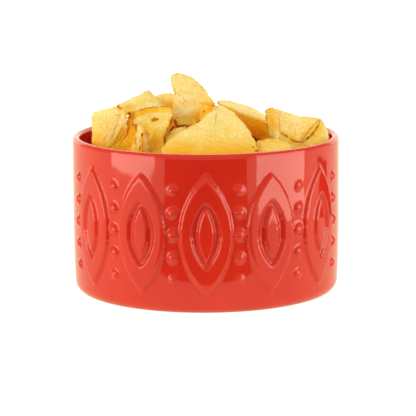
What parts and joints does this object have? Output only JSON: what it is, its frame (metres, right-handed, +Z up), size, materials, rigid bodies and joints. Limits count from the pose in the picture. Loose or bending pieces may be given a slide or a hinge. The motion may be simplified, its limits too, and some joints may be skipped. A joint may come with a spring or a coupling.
{
  "type": "bowl of crisps",
  "caption": "Straight-sided glazed stoneware bowl with a raised leaf border, heaped above the rim with potato crisps.",
  "frame": {"origin": "on the bowl's axis, at the level of its foot", "axes": "+Z up out of the bowl, -Y towards the front, where the raised border is"},
  "size_m": [0.165, 0.167, 0.1353],
  "materials": {
    "glaze": "polished",
    "fried_potato": "satin"
  },
  "bodies": {
    "root": {"bowl": "glaze", "crisps": "fried_potato"}
  },
  "joints": []
}
